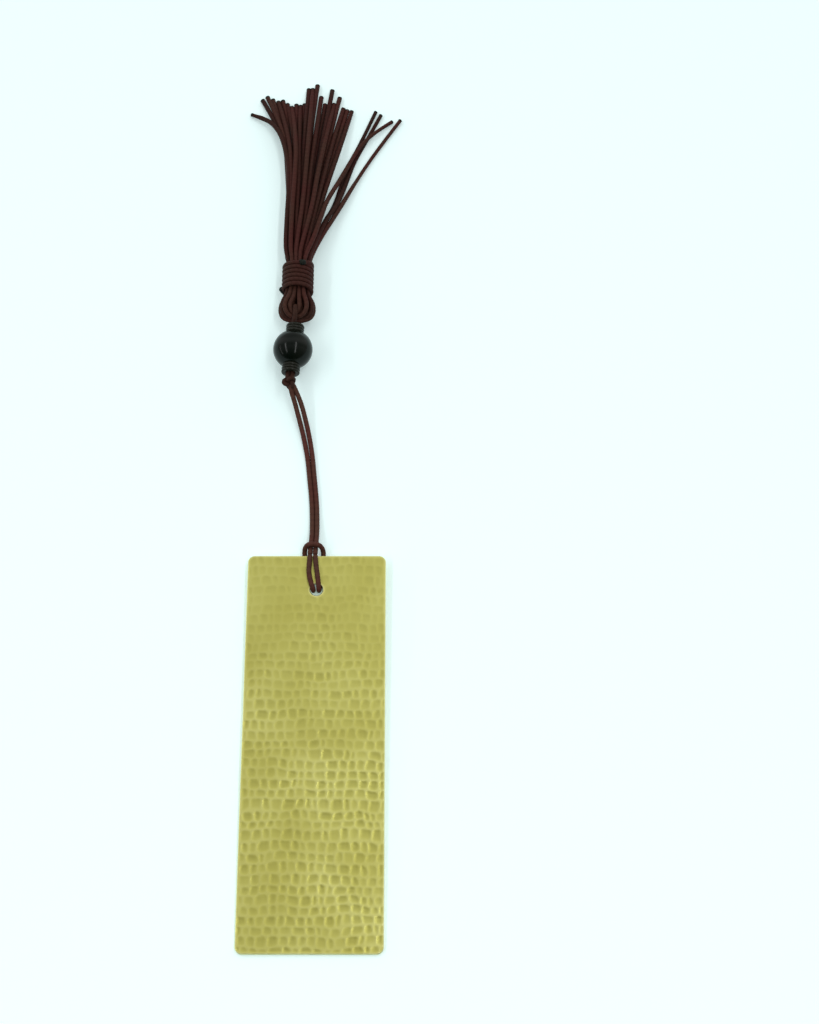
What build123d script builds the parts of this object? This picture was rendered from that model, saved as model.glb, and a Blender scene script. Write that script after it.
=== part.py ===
from build123d import *
import math
import os

# Bookmark: a brass blade, a cord hitched through its hole, a turned bead and a bound tassel.
# It lies on a table as it is laid down: +Z is up, +Y runs from the blade to the tassel.
# The origin is on the table under the middle of the blade. All lengths are millimetres.

# Brass blade
plate_length = 115.0
plate_width = 40.0
plate_thickness = 1.0
plate_corner_radius = 2.0
plate_edge_chamfer = 0.15
hole_diameter = 3.6
hole_inset = 10.5  # hole centre to the top edge
hole_chamfer = 0.2

# Cords
cord_diameter = 1.35  # hanging cord, doubled
strand_diameter = 1.1  # tassel cords
binding_diameter = 1.0  # cord wound round the tassel's neck
cord_seat = 0.06  # clearance of a cord on metal, on the table or on another cord
cord_joint_gap = 0.05  # between the ends of two stretches of the hanging cord
bend_share = 0.45  # share of the shorter run that a corner's arc takes up

# Turned bead
bead_diameter = 12.0
bead_length = 16.5  # over both necks
bead_bore_diameter = 3.0
bead_bore_chamfer = 0.25
neck_root_diameter = 4.9
neck_ring_diameter = 5.6
neck_ring_count = 3
bead_x = -8.46
bead_y = 123.95
bead_yaw = 4.0  # degrees that its axis leans to the right

# Stopper knot
knot_diameter = 4.4
knot_gap = 0.2  # to the cords that run into it
knot_lead = 0.7  # cord between the bead and the knot

# Tassel
tassel_x = -7.6  # its axis, left of the blade's axis
eye_y = 139.2  # middle of the eye that the loop goes through
eye_bend_radius = 1.35  # innermost fold, on the cord's middle
fold_step = 1.6  # from one fold to the next one outside it
fold_height_ratio = 0.88  # how far a fold reaches down, to its half width
head_swell_ratio = 1.1  # how far the layers part in the head
row_fold_counts = [2, 3, 3, 3, 2]  # folded cords in each layer, lowest first
fold_corners = 4  # corners that round off one fold
shoulder_rise = 0.3  # eye to where the innermost fold starts to draw in
shoulder_step = 0.9  # further up for each fold outside it
neck_step = 0.5  # each fold reaches the neck further down than the one outside it
head_lead = 0.1  # straight strand below the binding
neck_lead = 0.6  # straight strand above the binding

# Binding
binding_start_y = 144.6
binding_half_turns = 13
binding_pitch = 1.48
binding_first_angle = 235.0  # degrees, low on the left
binding_samples = 24  # points measured on a half turn

# Skirt: where the strands end on the table, as (x, y). The columns of the neck go from
# left to right, and a column from its lowest layer to its highest.
skirt_tips = [
    [(-20.95, 219.3), (-19.4, 220.5), (-24.4, 213.6)],
    [(-14.35, 219.1), (-17.6, 219.5), (-12.82, 217.7), (-15.8, 218.6), (-11.35, 216.5)],
    [(-7.2, 217.7), (-9.85, 217.5), (-5.9, 223.6), (-8.5, 217.0), (-4.65, 223.6)],
    [(-0.5, 217.7), (-3.1, 225.2), (1.75, 223.2), (-1.8, 220.5), (2.4, 217.7)],
    [(6.8, 215.4), (4.2, 220.3), (8.2, 215.0), (5.5, 216.0), (21.4, 210.9)],
    [(16.0, 214.8), (24.0, 211.5), (17.7, 213.5)],
]
skirt_swell_ratio = 1.2  # how far the columns part just above the binding
skirt_swell_run = 3.8
skirt_middles = [-17.9, -14.15, -6.6, -0.75, 5.7, 11.0]  # x that each column heads for
skirt_flares = [4.0, 4.0, 0.7, 0.9, 1.1, 0.8]  # how late each column spreads
skirt_sinks = [6.0, 6.0, 4.5, 3.8, 1.8, 1.6]  # how late it sinks to the table
skirt_fan = 1.3  # how late the strands of one column part from each other
skirt_shares = [0.3, 0.5, 0.75]  # stations between the binding and the tip

# Strands that stray from the skirt, as column and layer, with their points up to the tip
stray_routes = {
    (0, 3): [(-11.2, 159.2, 5.91), (-11.8, 168.0, 5.9), (-12.2, 181.0, 5.85), (-12.9, 193.0, 5.7),
             (-15.5, 204.5, 4.7), (-18.3, 209.9, 3.2), (-21.3, 212.2, 1.5)],
    (4, 4): [(-3.6, 163.0, 6.95), (-1.6, 171.0, 6.4), (0.8, 177.8, 5.2), (5.1, 187.6, 2.8),
             (10.6, 200.2, 1.95), (15.8, 206.3, 1.6)],
    (5, 1): [(-2.1, 163.0, 3.1), (-0.5, 170.9, 2.3), (3.2, 177.7, 1.5), (5.4, 187.3, 0.75),
             (7.7, 194.9, 0.65), (11.3, 202.8, 0.61)],
    (5, 2): [(-0.9, 165.0, 4.0), (4.2, 175.5, 2.4), (10.3, 188.7, 1.0), (16.7, 200.3, 0.65)],
    (5, 3): [(-2.2, 163.2, 5.4), (0.5, 171.0, 4.15), (4.3, 178.2, 3.0), (6.9, 187.6, 1.2),
             (9.1, 195.2, 0.7), (12.8, 203.0, 0.62)],
}

# Hitch: points of the lark's head as x and the share of the way from hole to top edge
hitch_left_front = [(-2.0, 1.0), (-2.15, 0.79), (-2.3, 0.5), (-1.75, 0.23), (-0.9, 0.0)]
hitch_left_back = [(-0.9, 0.0), (-1.5, 0.25), (-2.9, 0.61), (-3.55, 0.94)]
hitch_right_back = [(1.7, 0.94), (1.45, 0.61), (1.05, 0.25), (0.7, 0.0)]
hitch_right_front = [(0.7, 0.0), (0.5, 0.23), (0.1, 0.5), (-0.35, 0.79), (-0.5, 1.0)]
# The bight that holds the strands: x, y beyond the top edge, z over the blade's back
hitch_bight = [
    (-3.7, 1.1, -0.63), (-3.65, 2.0, 0.5), (-3.2, 2.6, 2.1), (-2.2, 2.85, 3.1),
    (-0.25, 2.85, 3.1), (1.1, 2.6, 2.1), (1.7, 2.0, 0.5), (1.8, 1.1, -0.63),
]
edge_run = 1.2  # straight strand past the top edge

# Free strands of the hanging cord, from the top edge to the knot
hanging_left = [
    (-1.77, 61.5, 2.6), (-1.62, 65.5, 1.55), (-1.73, 70.5, 0.85), (-1.98, 76.0, 0.74), (-2.91, 84.5, 0.75),
    (-3.48, 90.0, 0.74), (-4.9, 97.1, 1.25), (-6.55, 103.3, 2.6), (-7.8, 107.2, 4.0), (-8.95, 110.3, 5.1),
]
hanging_right = [
    (-0.33, 61.5, 2.6), (-0.2, 65.5, 1.55), (-0.31, 70.5, 0.85), (-0.56, 76.0, 0.74), (-1.49, 84.5, 0.75),
    (-2.0, 90.0, 0.74), (-3.15, 97.1, 1.25), (-4.65, 103.3, 2.6), (-5.75, 107.2, 4.0), (-7.45, 111.15, 5.1),
]

# Loop through the tassel's eye, past the bead's upper neck
loop_bore_lead = 0.5  # straight strand past the bead's end
loop_over = [(-8.1, 134.1, 7.6), (-7.75, 135.8, 8.65), (-7.6, 139.4, 8.7)]
loop_under = [(-7.6, 139.4, 0.8), (-7.6, 135.7, 0.85), (-7.5, 133.6, 1.6), (-7.35, 133.2, 3.8)]

cord_radius = cord_diameter / 2
strand_radius = strand_diameter / 2
strand_pitch = strand_diameter + cord_seat
strand_rest_z = strand_radius + cord_seat

# Tassel neck: the strands are packed in layers inside the binding
row_count = len(row_fold_counts)
fold_count = max(row_fold_counts)  # each fold has a column on the left and one on the right


def column_side(column):
    return -1 if column < fold_count else 1


def column_fold(column):
    return column - fold_count if column >= fold_count else fold_count - 1 - column


def slot_x(column):
    return column_side(column) * (column_fold(column) + 0.5) * strand_pitch


def slot_z(row):
    return (row - (row_count - 1) / 2) * strand_pitch


packed_radius = strand_radius + max(
    math.hypot((folds - 0.5) * strand_pitch, slot_z(row)) for row, folds in enumerate(row_fold_counts)
)
binding_radius = packed_radius + cord_seat + binding_diameter / 2
binding_crest = math.hypot(binding_radius, binding_pitch / 4)  # middle of each half turn
tassel_z = binding_crest + binding_diameter / 2
binding_end_y = binding_start_y + binding_half_turns * binding_pitch / 2
head_end_y = binding_start_y - binding_diameter / 2 - head_lead
neck_end_y = binding_end_y + binding_diameter / 2 + neck_lead

# The blade leans on the hitch: the cord's back legs lie under its top end
top_edge_y = plate_length / 2
hole_y = top_edge_y - hole_inset
front_z = plate_thickness + cord_seat + cord_radius  # cord on the blade's front
back_z = -cord_seat - cord_radius  # cord on the blade's back
leaning_length = hole_y + (front_z - back_z) / 2 + top_edge_y - plate_edge_chamfer
lean = math.atan2(cord_diameter + 2 * cord_seat, leaning_length)
blade_place = Location(
    (0, plate_thickness / 2 * math.sin(lean), (top_edge_y - plate_edge_chamfer) * math.sin(lean)),
    (math.degrees(lean), 0, 0),
)

bead_axis = Vector(math.sin(math.radians(bead_yaw)), math.cos(math.radians(bead_yaw)), 0)
bead_centre = Vector(bead_x, bead_y, bead_diameter / 2)
knot_centre = bead_centre - bead_axis * (bead_length / 2 + knot_lead + knot_gap + knot_diameter / 2)


# Routes of the cords
def hitch_route():
    """Lark's head in the blade's own frame: left front leg, hole, bight, hole, right front leg."""
    def leg(points, z):
        return [(x, hole_y + share * hole_inset, z) for x, share in points]

    bight = [(x, top_edge_y + beyond, z) for x, beyond, z in hitch_bight]
    left = leg(hitch_left_front, front_z) + leg(hitch_left_back, back_z)
    right = leg(hitch_right_back, back_z) + leg(hitch_right_front, front_z)
    return left + bight + right


def hanging_route(front_leg_end, points):
    """One free strand, straight over the blade's top edge and on to the knot."""
    x = front_leg_end[0]
    reaches = [cord_joint_gap, edge_run]
    over_edge = [blade_place * Location((x, top_edge_y + reach, front_z)) for reach in reaches]
    return [place.position for place in over_edge] + points


def loop_route():
    """From the knot through the bead, round the tassel's folds and back through the bead."""
    strand_offset = bead_axis.cross(Vector(0, 0, 1)) * (cord_radius + cord_seat / 2)
    knot_end = bead_centre - bead_axis * (bead_length / 2 + knot_lead)
    tassel_end = bead_centre + bead_axis * (bead_length / 2 + loop_bore_lead)
    out = [knot_end - strand_offset, tassel_end - strand_offset]
    back = [tassel_end + strand_offset, knot_end + strand_offset]
    return out + loop_over + loop_under + back


def column_rows(column):
    return [row for row, folds in enumerate(row_fold_counts) if folds > column_fold(column)]


def leg_route(column, row):
    """Half of a folded tassel cord, from the middle of its fold to its tip."""
    side = column_side(column)
    fold = column_fold(column)
    bend = eye_bend_radius + fold * fold_step
    neck_x = tassel_x + slot_x(column)
    spread_x = tassel_x + slot_x(column) * skirt_swell_ratio
    layer_z = tassel_z + slot_z(row)
    head_z = tassel_z + slot_z(row) * head_swell_ratio
    rows = column_rows(column)
    tip_x, tip_y = skirt_tips[column][rows.index(row)]

    corner_angle = math.pi / fold_corners
    corner_reach = bend / math.cos(corner_angle / 2)
    points = []
    for corner in range(fold_corners // 2):
        angle = (corner + 0.5) * corner_angle
        points.append((tassel_x + side * corner_reach * math.sin(angle),
                       eye_y - fold_height_ratio * corner_reach * math.cos(angle), head_z))
    points.append((tassel_x + side * bend, eye_y + shoulder_rise + fold * shoulder_step, head_z))
    points.append((neck_x, head_end_y - (fold_count - 1 - fold) * neck_step, layer_z))
    points.append((neck_x, neck_end_y, layer_z))

    if (column, row) in stray_routes:
        points += stray_routes[column, row]
    else:
        points.append((spread_x, neck_end_y + skirt_swell_run, layer_z))
        middle_x = skirt_middles[column]
        for share in skirt_shares:
            spread = share ** skirt_flares[column]
            parted = share ** skirt_fan
            sunk = share ** skirt_sinks[column]
            points.append((spread_x + (middle_x - spread_x) * spread + (tip_x - middle_x) * parted,
                           neck_end_y + (tip_y - neck_end_y) * share,
                           layer_z + (strand_rest_z - layer_z) * sunk))
    return points + [(tip_x, tip_y, strand_rest_z)]


def strand_routes():
    """Every folded tassel cord, layer by layer and from the eye outwards."""
    routes = []
    for row, folds in enumerate(row_fold_counts):
        for fold in range(folds):
            left = leg_route(fold_count - 1 - fold, row)
            right = leg_route(fold_count + fold, row)
            routes.append(left[::-1] + right)
    return routes


# Solids
def cord_tube(name, points, diameter):
    """Round cord along straight runs that are joined by tangent arcs."""
    points = [Vector(point) for point in points]
    radii = []
    for before, corner, after in zip(points, points[1:], points[2:]):
        run_in = corner - before
        run_out = after - corner
        half_turn = math.radians(run_in.get_angle(run_out) / 2)
        radii.append(bend_share * min(run_in.length, run_out.length) / math.tan(half_turn))
    path = FilletPolyline(*points, radius=radii)
    tube = swept(path, diameter)
    share = tube.volume / (math.pi * (diameter / 2) ** 2 * path.length)
    print(f"{name}: length {path.length:.1f}, least radius {min(radii):.2f}, volume share {share:.4f}")
    print("  radii", [round(radius, 1) for radius in radii])
    return tube


def swept(path, diameter):
    section = Plane(origin=path @ 0, z_dir=path % 0) * Circle(diameter / 2)
    return sweep(section, path=path)


def brass_plate():
    blade = extrude(RectangleRounded(plate_width, plate_length, plate_corner_radius), plate_thickness)
    blade -= Pos(0, hole_y, plate_thickness / 2) * Cylinder(hole_diameter / 2, plate_thickness)
    faces = blade.faces().sort_by(Axis.Z)
    rims = faces[0].outer_wire().edges() + faces[-1].outer_wire().edges()
    blade = chamfer(rims, plate_edge_chamfer)
    hole_rims = blade.edges().filter_by(GeomType.CIRCLE).filter_by(lambda rim: rim.is_closed)
    return blade_place * chamfer(hole_rims, hole_chamfer)


def bead():
    """Ball with a ringed neck at each end, turned about its own Y and bored through."""
    end = bead_length / 2
    bore = bead_bore_diameter / 2
    ball = bead_diameter / 2
    root = neck_root_diameter / 2
    ball_end = math.sqrt(ball ** 2 - root ** 2)
    ring = (end - ball_end) / neck_ring_count
    lines = [ThreePointArc((root, -ball_end), (ball, 0), (root, ball_end))]
    for side in (-1, 1):
        for count in range(neck_ring_count):
            start = ball_end + count * ring
            lines.append(ThreePointArc((root, side * start),
                                       (neck_ring_diameter / 2, side * (start + ring / 2)),
                                       (root, side * (start + ring))))
        mouth = (bore + bead_bore_chamfer, side * end)
        lines.append(Line((root, side * end), mouth))
        lines.append(Line(mouth, (bore, side * (end - bead_bore_chamfer))))
    lines.append(Line((bore, bead_bore_chamfer - end), (bore, end - bead_bore_chamfer)))
    profile = make_face(Wire.combine(lines)[0])
    return Location(bead_centre, (0, 0, -bead_yaw)) * revolve(profile, Axis.Y)


def tassel_binding():
    """One cord wound round the neck, in half turns that meet tangentially."""
    def point(half_turns, radius):
        angle = math.radians(binding_first_angle + 180 * half_turns)
        return Vector(tassel_x + radius * math.cos(angle),
                      binding_start_y + half_turns * binding_pitch / 2,
                      tassel_z + radius * math.sin(angle))

    def lead(half_turns, sense):
        angle = math.radians(binding_first_angle + 180 * half_turns)
        along = Vector(-math.sin(angle), 0, math.cos(angle)) * (sense * binding_diameter)
        start = point(half_turns, binding_radius)
        return Line(start, start + along) if sense > 0 else Line(start + along, start)

    turns = [
        ThreePointArc(point(turn, binding_radius), point(turn + 0.5, binding_crest),
                      point(turn + 1, binding_radius))
        for turn in range(binding_half_turns)
    ]
    path = Wire([lead(0, -1), *turns, lead(binding_half_turns, 1)])
    binding = swept(path, binding_diameter)

    spots = [turn @ (step / binding_samples) for turn in turns for step in range(binding_samples)]
    next_turn = binding_samples
    gap = min((far - near).length for index, near in enumerate(spots) for far in spots[index + next_turn:])
    share = binding.volume / (math.pi * (binding_diameter / 2) ** 2 * path.length)
    print(f"tassel_binding: length {path.length:.1f}, volume share {share:.4f}, "
          f"least gap to itself {gap - binding_diameter:.3f}")
    return binding


parts = {
    "brass_plate": brass_plate(),
    "cord_hitch": blade_place * cord_tube("cord_hitch", hitch_route(), cord_diameter),
    "hanging_cord_left": cord_tube(
        "hanging_cord_left", hanging_route(hitch_left_front[0], hanging_left), cord_diameter),
    "hanging_cord_right": cord_tube(
        "hanging_cord_right", hanging_route(hitch_right_front[-1], hanging_right), cord_diameter),
    "stopper_knot": Location(knot_centre) * Sphere(knot_diameter / 2),
    "bead": bead(),
    "tassel_loop": cord_tube("tassel_loop", loop_route(), cord_diameter),
    "tassel_binding": tassel_binding(),
}
for number, route in enumerate(strand_routes(), start=1):
    name = f"tassel_strand_{number:02d}"
    parts[name] = cord_tube(name, route, strand_diameter)

os.makedirs("parts", exist_ok=True)
for name, part in parts.items():
    export_step(part, f"parts/{name}.step")
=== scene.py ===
import bmesh
import bpy
import math
import numpy as np
from mathutils import Matrix, Vector


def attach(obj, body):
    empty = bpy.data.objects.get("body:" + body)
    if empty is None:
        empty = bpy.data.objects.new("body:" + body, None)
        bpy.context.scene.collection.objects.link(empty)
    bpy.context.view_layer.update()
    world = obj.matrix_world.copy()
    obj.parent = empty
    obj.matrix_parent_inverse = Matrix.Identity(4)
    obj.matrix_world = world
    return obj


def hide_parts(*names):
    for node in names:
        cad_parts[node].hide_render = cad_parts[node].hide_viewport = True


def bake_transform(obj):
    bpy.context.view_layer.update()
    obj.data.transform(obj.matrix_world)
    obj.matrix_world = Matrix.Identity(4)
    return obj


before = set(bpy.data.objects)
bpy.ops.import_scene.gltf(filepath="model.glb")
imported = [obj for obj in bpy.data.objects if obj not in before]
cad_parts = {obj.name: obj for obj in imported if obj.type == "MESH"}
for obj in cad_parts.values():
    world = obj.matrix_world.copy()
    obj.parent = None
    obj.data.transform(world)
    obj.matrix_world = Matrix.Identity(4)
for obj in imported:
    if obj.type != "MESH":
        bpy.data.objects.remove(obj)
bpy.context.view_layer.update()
scene = bpy.context.scene
scene.view_settings.view_transform = "Standard"
mm = 0.001  # the dictionaries of the pieces are in millimetres
tiny = 1e-9  # keeps a division away from zero


def link(obj):
    scene.collection.objects.link(obj)
    return obj


def addNode(tree, kind, inputs=None, **settings):
    node = tree.nodes.new(kind)
    for name, value in settings.items():
        setattr(node, name, value)
    for socket, value in (inputs or {}).items():
        if isinstance(value, bpy.types.NodeSocket):
            tree.links.new(value, node.inputs[socket])
        else:
            node.inputs[socket].default_value = value
    return node


def mathNode(tree, operation, a, b=None, c=None):
    values = {index: value for index, value in enumerate((a, b, c)) if value is not None}
    return addNode(tree, "ShaderNodeMath", values, operation=operation).outputs[0]


def rangeNode(tree, value, span, levels):
    inputs = {0: value, 1: span[0], 2: span[1], 3: levels[0], 4: levels[1]}
    return addNode(tree, "ShaderNodeMapRange", inputs).outputs[0]


# camera, recovered from the blade's edges and corners
photoCamera = {"lens": 69.196, "sensor": 36.0, "tilt": 24.3565, "place": (0.02686, -0.166744, 0.528785)}
cameraData = bpy.data.cameras.new("photoCamera")
cameraData.lens = photoCamera["lens"]
cameraData.sensor_width = photoCamera["sensor"]
camera = link(bpy.data.objects.new("photoCamera", cameraData))
camera.location = photoCamera["place"]
camera.rotation_euler = (math.radians(photoCamera["tilt"]), 0, 0)
scene.camera = camera
print("camera", photoCamera["lens"])


# finishes
def rampNode(tree, value, stops):
    ramp = addNode(tree, "ShaderNodeValToRGB", {0: value})
    elements = ramp.color_ramp.elements
    while len(elements) < len(stops):
        elements.new(1.0)
    for element, (place, colour) in zip(elements, stops):
        element.position = place
        element.color = (*colour, 1.0)
    return ramp.outputs[0]


def mixNode(tree, share, one, two, **settings):
    inputs = {0: share, 6: one, 7: two}  # the node's colour sockets
    return addNode(tree, "ShaderNodeMix", inputs, data_type="RGBA", **settings).outputs[2]


def newFinish(name):
    finish = bpy.data.materials.new(name)
    finish.use_nodes = True
    return finish, finish.node_tree, finish.node_tree.nodes["Principled BSDF"]


def objectNoise(tree, scale, detail=2.0, stretch=(1, 1, 1)):
    place = addNode(tree, "ShaderNodeTexCoord").outputs["Object"]
    mapped = addNode(tree, "ShaderNodeMapping", {"Vector": place, "Scale": stretch}).outputs[0]
    noise = addNode(tree, "ShaderNodeTexNoise", {"Vector": mapped, "Scale": scale, "Detail": detail})
    return noise.outputs["Fac"]


def addBump(tree, shader, look, height):
    inputs = {"Strength": look["bumpStrength"], "Distance": look["bumpDepth"] * mm, "Height": height}
    tree.links.new(addNode(tree, "ShaderNodeBump", inputs).outputs[0], shader.inputs["Normal"])


brassLook = {
    # from the edge and ridges, lit with painted highlight, to the bottoms of the marks, darkened with
    # painted shade
    "paintedLight": [(0.0, (0.80, 0.79, 0.40)), (0.06, (0.575, 0.56, 0.185)),
             (0.5, (0.478, 0.460, 0.122)), (1.0, (0.41, 0.392, 0.098))],
    "tints": [(0.3, (0.93, 0.92, 0.84)), (0.7, (1.04, 1.05, 1.10))], "tint": {"scale": 55.0, "detail": 3.0},
    "grain": {"scale": 2600.0}, "scratch": {"scale": 900.0, "detail": 3.0, "stretch": (1, 0.06, 1)},
    "scratchSpan": (0.3, 0.7), "roughness": (0.38, 0.48), "bumpStrength": 0.10, "bumpDepth": 0.04,
}


def hammeredBrass(look):
    finish, tree, shader = newFinish("hammeredBrass")
    dent = addNode(tree, "ShaderNodeAttribute", attribute_name="dent").outputs["Fac"]
    # painted highlight and painted shade: the stored level gives the edge and ridges a lighter colour and
    # the deep marks a darker one
    paintedLight = rampNode(tree, dent, look["paintedLight"])
    tint = rampNode(tree, objectNoise(tree, **look["tint"]), look["tints"])
    colour = mixNode(tree, 1.0, paintedLight, tint, blend_type="MULTIPLY")
    tree.links.new(colour, shader.inputs["Base Color"])
    grain = objectNoise(tree, **look["grain"])
    scratch = objectNoise(tree, **look["scratch"])
    rough = rangeNode(tree, scratch, look["scratchSpan"], look["roughness"])
    tree.links.new(rough, shader.inputs["Roughness"])
    addBump(tree, shader, look, mathNode(tree, "ADD", grain, scratch))
    shader.inputs["Metallic"].default_value = 1.0
    return finish


cordLook = {
    "tints": [(0.35, (0.100, 0.0300, 0.023)), (0.62, (0.089, 0.0400, 0.027))], "tint": {"scale": 90.0},
    "deep": (0.028, 0.009, 0.007), "threads": 8.0, "lay": 0.36, "plaitShade": 0.22, "baseShade": 0.55,
    "fibreStretch": (3, 40, 1), "fibreDetail": 3.0, "fibreShade": 0.5, "fibreHeight": 0.35,
    "bumpStrength": 0.35, "bumpDepth": 0.05, "roughness": 0.58, "specular": 0.08,
}
strandLook = cordLook | {
    "tints": [(0.35, (0.058, 0.0162, 0.0130)), (0.62, (0.050, 0.0215, 0.0145))],
    "deep": (0.018, 0.005, 0.004),
}


def waxedCord(look, name):
    finish, tree, shader = newFinish(name)
    uv = addNode(tree, "ShaderNodeUVMap", uv_map="cordUV").outputs[0]
    parts = addNode(tree, "ShaderNodeSeparateXYZ", {0: uv}).outputs
    along = mathNode(tree, "MULTIPLY", parts[0], look["lay"])
    around = mathNode(tree, "MULTIPLY", parts[1], look["threads"] / 2)
    turns = []
    for sign in (1, -1):
        phase = mathNode(tree, "MULTIPLY_ADD", around, sign, along)
        turns.append(mathNode(tree, "SINE", mathNode(tree, "MULTIPLY", phase, 2 * math.pi)))
    plait = mathNode(tree, "MULTIPLY", *turns)
    drawn = addNode(tree, "ShaderNodeMapping", {"Vector": uv, "Scale": look["fibreStretch"]}).outputs[0]
    fibreInputs = {"Vector": drawn, "Scale": 1.0, "Detail": look["fibreDetail"]}
    fibre = addNode(tree, "ShaderNodeTexNoise", fibreInputs).outputs["Fac"]
    tint = rampNode(tree, objectNoise(tree, **look["tint"]), look["tints"])
    # painted shade: the braid's grooves are darker and its raised carriers lighter; the fibre streaks are
    # darker where they lie low in the bump
    shade = mathNode(tree, "MULTIPLY_ADD", fibre, look["fibreShade"], look["baseShade"])
    shade = mathNode(tree, "MULTIPLY_ADD", plait, look["plaitShade"], shade)
    colour = mixNode(tree, shade, (*look["deep"], 1), tint)
    # a colour factor per piece: random tone on the tassel's strands, painted shade on the knot and the loop
    toneAndShade = addNode(tree, "ShaderNodeAttribute", attribute_name="toneAndShade").outputs["Fac"]
    toned = addNode(tree, "ShaderNodeVectorMath", {0: colour, "Scale": toneAndShade}, operation="SCALE")
    tree.links.new(toned.outputs[0], shader.inputs["Base Color"])
    addBump(tree, shader, look, mathNode(tree, "MULTIPLY_ADD", fibre, look["fibreHeight"], plait))
    shader.inputs["Roughness"].default_value = look["roughness"]
    shader.inputs["Specular IOR Level"].default_value = look["specular"]
    return finish


beadLook = {
    "ball": [(0.42, (0.0016, 0.0040, 0.0023)), (0.72, (0.0060, 0.0082, 0.0048))],
    "veins": {"scale": 160.0, "detail": 4.0, "stretch": (1, 0.35, 1)},
    "neck": (0.0145, 0.0155, 0.0110), "ballEnd": 5.4, "smear": {"scale": 700.0}, "smearSpan": (0.3, 0.7),
    "roughness": (0.12, 0.18), "neckRoughness": 0.12, "specular": 0.15,
}


def polishedBead(look, centre, yaw):
    finish, tree, shader = newFinish("polishedBead")
    ball = rampNode(tree, objectNoise(tree, **look["veins"]), look["ball"])
    # the ringed necks are less polished than the ball
    place = addNode(tree, "ShaderNodeTexCoord").outputs["Object"]
    onBead = {"Vector": place, "Location": centre * mm, "Rotation": (0, 0, -math.radians(yaw))}
    turned = addNode(tree, "ShaderNodeMapping", onBead, vector_type="TEXTURE")
    along = addNode(tree, "ShaderNodeSeparateXYZ", {0: turned.outputs[0]}).outputs[1]
    onNeck = mathNode(tree, "GREATER_THAN", mathNode(tree, "ABSOLUTE", along), look["ballEnd"] * mm)
    colour = mixNode(tree, onNeck, ball, (*look["neck"], 1))
    tree.links.new(colour, shader.inputs["Base Color"])
    smear = rangeNode(tree, objectNoise(tree, **look["smear"]), look["smearSpan"], look["roughness"])
    rough = mathNode(tree, "MULTIPLY_ADD", onNeck, look["neckRoughness"], smear)
    tree.links.new(rough, shader.inputs["Roughness"])
    shader.inputs["Specular IOR Level"].default_value = look["specular"]
    return finish


sealLook = {
    "tints": [(0.35, (0.003, 0.004, 0.003)), (0.7, (0.009, 0.013, 0.008))],
    "lumps": {"scale": 1500.0, "detail": 3.0}, "bumpStrength": 0.5, "bumpDepth": 0.08,
    "roughness": 0.42, "specular": 0.12,
}


def sealedEnd(look):
    finish, tree, shader = newFinish("sealedEnd")
    lumps = objectNoise(tree, **look["lumps"])
    tree.links.new(rampNode(tree, lumps, look["tints"]), shader.inputs["Base Color"])
    addBump(tree, shader, look, lumps)
    shader.inputs["Roughness"].default_value = look["roughness"]
    shader.inputs["Specular IOR Level"].default_value = look["specular"]
    return finish


brassFinish = hammeredBrass(brassLook)
cordFinish = waxedCord(cordLook, "hangingCord")
strandFinish = waxedCord(strandLook, "tasselCord")
sealFinish = sealedEnd(sealLook)
print("finishes ready")


# cords: a route's points make one smooth spline, and a braided tube follows it
cord = {
    "diameter": 1.35, "girth": 1.06, "step": 0.13, "sides": 18, "seat": 0.06, "seal": 0.0, "sealSwell": 0.0,
}
drawnCord = cord | {"girth": 0.9}
strand = {"diameter": 1.2, "girth": 1.0, "step": 0.19, "sides": 14, "seal": 0.7, "sealSwell": 0.12}
wound = {"diameter": 1.0, "girth": 1.0, "step": 0.13, "sides": 16, "seal": 1.8, "sealSwell": 0.4}
braid = {"depth": 0.022, "lay": 2.8, "carriers": 4, "endRound": 0.22, "endDraw": 0.35}
smoothing = {"steps": 24, "order": 3, "fewestRings": 8, "steepStart": 0.2}


def splineLine(name, route, closed=False):
    curve = bpy.data.curves.new(name, "CURVE")
    curve.dimensions = "3D"
    curve.resolution_u = smoothing["steps"]
    spline = curve.splines.new("NURBS")
    spline.points.add(len(route) - 1)
    for point, place in zip(spline.points, route):
        point.co = (*(Vector(place) * mm), 1.0)
    spline.order_u = smoothing["order"]
    spline.use_endpoint_u = not closed
    spline.use_cyclic_u = closed
    holder = link(bpy.data.objects.new(name, curve))
    mesh = bpy.data.meshes.new_from_object(holder)
    line = np.array([vertex.co for vertex in mesh.vertices])
    bpy.data.objects.remove(holder)
    bpy.data.curves.remove(curve)
    bpy.data.meshes.remove(mesh)
    return np.vstack([line, line[:1]]) if closed else line


def evenLine(line, step):
    runs = np.linalg.norm(np.diff(line, axis=0), axis=1)
    reach = np.concatenate([[0], np.cumsum(runs)])
    count = max(smoothing["fewestRings"], round(reach[-1] / step))
    marks = np.linspace(0, reach[-1], count + 1)
    return np.stack([np.interp(marks, reach, line[:, axis]) for axis in range(3)], axis=1), marks


def carriedFrames(line, facing):
    tangents = np.gradient(line, axis=0)
    tangents /= np.linalg.norm(tangents, axis=1)[:, None]
    if facing is not None:
        across = facing(line)
        across -= tangents * (across * tangents).sum(1)[:, None]
        across /= np.linalg.norm(across, axis=1)[:, None]
        return across, np.cross(tangents, across)
    start = np.cross(tangents[0], (0.0, 0.0, 1.0))
    if np.linalg.norm(start) < smoothing["steepStart"]:
        start = np.cross(tangents[0], (0.0, 1.0, 0.0))
    sides = [start / np.linalg.norm(start)]
    for tangent in tangents[1:]:
        side = sides[-1] - tangent * np.dot(sides[-1], tangent)
        sides.append(side / np.linalg.norm(side))
    across = np.array(sides)
    return across, np.cross(tangents, across)


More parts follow.
